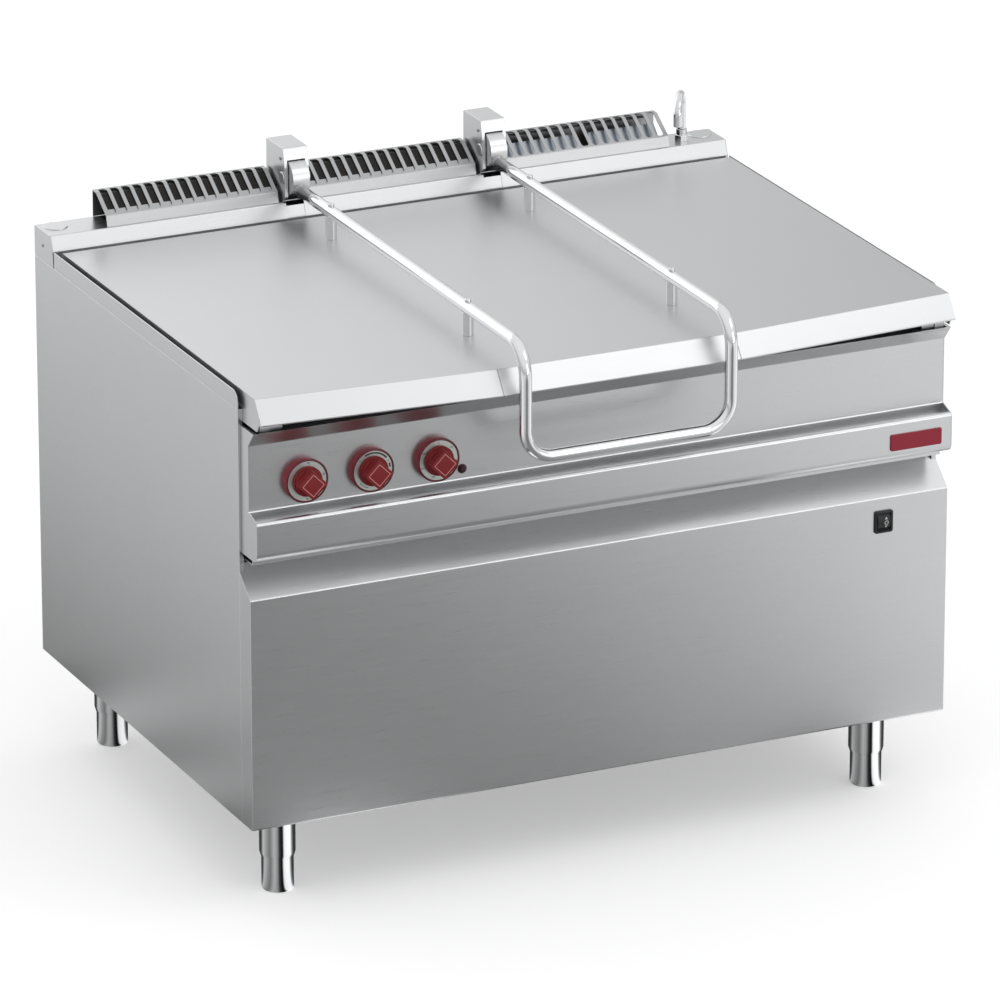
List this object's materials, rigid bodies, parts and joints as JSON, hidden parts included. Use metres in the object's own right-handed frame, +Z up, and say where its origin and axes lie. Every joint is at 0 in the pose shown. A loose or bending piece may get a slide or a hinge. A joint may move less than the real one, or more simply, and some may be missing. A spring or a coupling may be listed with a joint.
{
  "type": "tilting bratt pan",
  "caption": "Free-standing tilting bratt pan: shallow wide pan in a cabinet on legs, lid with a bent tube handle, control fascia, vent grilles and a swivel tap.",
  "frame": {"origin": "on the floor under the middle of the whole width and depth, handle included", "axes": "+X to the right as seen from the front, +Y towards the back, +Z up"},
  "size_m": [1.2, 0.9506, 0.967],
  "materials": {
    "satin_steel": "satin brushed stainless steel sheet",
    "polished_steel": "polished stainless steel",
    "pan_steel": "ground stainless steel",
    "frame_steel": "plain machined steel",
    "red_plastic": "satin dark red plastic",
    "dial_aluminium": "satin aluminium",
    "lamp_plastic": "clear dark red lens",
    "black_plastic": "black moulded plastic",
    "white_ceramic": "off-white moulding",
    "brass": "turned brass",
    "copper": "drawn copper tube",
    "zinc_sheet": "zinc-coated sheet",
    "heater_sheath": "dark heater sheath",
    "motor_paint": "grey enamel"
  },
  "bodies": {
    "cabinet": {"base_frame": "frame_steel", "leg_sleeves": "polished_steel", "leg_feet": "polished_steel", "bottom_panel": "satin_steel", "side_panel_left": "satin_steel", "side_panel_right": "satin_steel", "back_panel": "satin_steel", "front_panel": "satin_steel", "top_frame": "satin_steel", "rear_housing": "satin_steel", "housing_end_cap_left": "satin_steel", "housing_end_cap_right": "satin_steel", "blanking_caps": "satin_steel", "vent_grille_left": "satin_steel", "vent_grille_middle": "satin_steel", "vent_grille_right": "satin_steel", "smoke_deflectors": "zinc_sheet", "hinge_box_left": "satin_steel", "hinge_box_right": "satin_steel", "hinge_pins": "polished_steel", "fascia_panel": "satin_steel", "fascia_end_cap_left": "satin_steel", "fascia_end_cap_right": "satin_steel", "control_box": "satin_steel", "under_rail_strip": "satin_steel", "knob_bezels": "red_plastic", "dial_plates": "dial_aluminium", "water_valve": "brass", "power_regulator": "black_plastic", "thermostat": "white_ceramic", "pilot_lamp": "lamp_plastic", "tilt_switch_frame": "black_plastic", "tilt_switch_body": "black_plastic", "tap_base": "polished_steel", "water_pipe": "copper", "water_inlet": "brass", "cable_gland": "black_plastic", "terminal_box": "white_ceramic", "pivot_brackets": "frame_steel", "jack_gearbox": "frame_steel", "jack_motor": "motor_paint", "jack_tube": "frame_steel"},
    "pan": {"pan_vessel": "pan_steel", "pan_base_plate": "frame_steel", "heating_elements": "heater_sheath", "pan_casing": "satin_steel", "pan_trunnions": "frame_steel"},
    "lid": {"lid_shell": "satin_steel", "lid_ribs": "satin_steel", "handle_posts": "polished_steel", "handle_frame": "polished_steel", "hinge_drums": "satin_steel"},
    "jack_head": {"jack_rod": "polished_steel", "jack_roller": "frame_steel"},
    "water_grip": {"water_knob": "red_plastic"},
    "power_grip": {"power_knob": "red_plastic"},
    "temperature_grip": {"temperature_knob": "red_plastic"},
    "switch_rocker": {"tilt_switch_rocker": "black_plastic"},
    "swivel_spout": {"tap_spout": "polished_steel"}
  },
  "joints": [
    {"name": "pan_tilt", "type": "hinge", "parent": "cabinet", "child": "pan", "pos_m": [0, -0.3807, 0.803], "axis": [1, 0, 0], "range_deg": [0, 55]},
    {"name": "lid_hinge", "type": "hinge", "parent": "cabinet", "child": "lid", "pos_m": [0, 0.4083, 0.9155], "axis": [-1, 0, 0], "range_deg": [0, 88.5]},
    {"name": "jack_lift", "type": "slide", "parent": "cabinet", "child": "jack_head", "axis": [0, 0, 1], "range_m": [0, 0.222]},
    {"name": "water_knob_turn", "type": "hinge", "parent": "cabinet", "child": "water_grip", "pos_m": [-0.504, -0.3847, 0.7065], "axis": [0, 1, 0], "range_deg": [0, 180]},
    {"name": "power_knob_turn", "type": "hinge", "parent": "cabinet", "child": "power_grip", "pos_m": [-0.394, -0.3847, 0.7065], "axis": [0, 1, 0], "range_deg": [0, 270]},
    {"name": "temperature_knob_turn", "type": "hinge", "parent": "cabinet", "child": "temperature_grip", "pos_m": [-0.284, -0.3847, 0.7065], "axis": [0, 1, 0], "range_deg": [0, 300]},
    {"name": "tilt_switch_rock", "type": "hinge", "parent": "cabinet", "child": "switch_rocker", "pos_m": [0.4863, -0.3777, 0.486], "axis": [1, 0, 0], "range_deg": [-8, 8], "stiffness_Nm_per_rad": 0.3},
    {"name": "tap_swivel", "type": "hinge", "parent": "cabinet", "child": "swivel_spout", "pos_m": [0.532, 0.4363, 0.9], "axis": [0, 0, 1], "range_deg": [-58, 92]}
  ],
  "couplings": [
    {"joint": "lid_hinge", "follows": "pan_tilt", "ratio": 1.6},
    {"joint": "jack_lift", "follows": "pan_tilt", "m_per_rad": 0.2306}
  ]
}
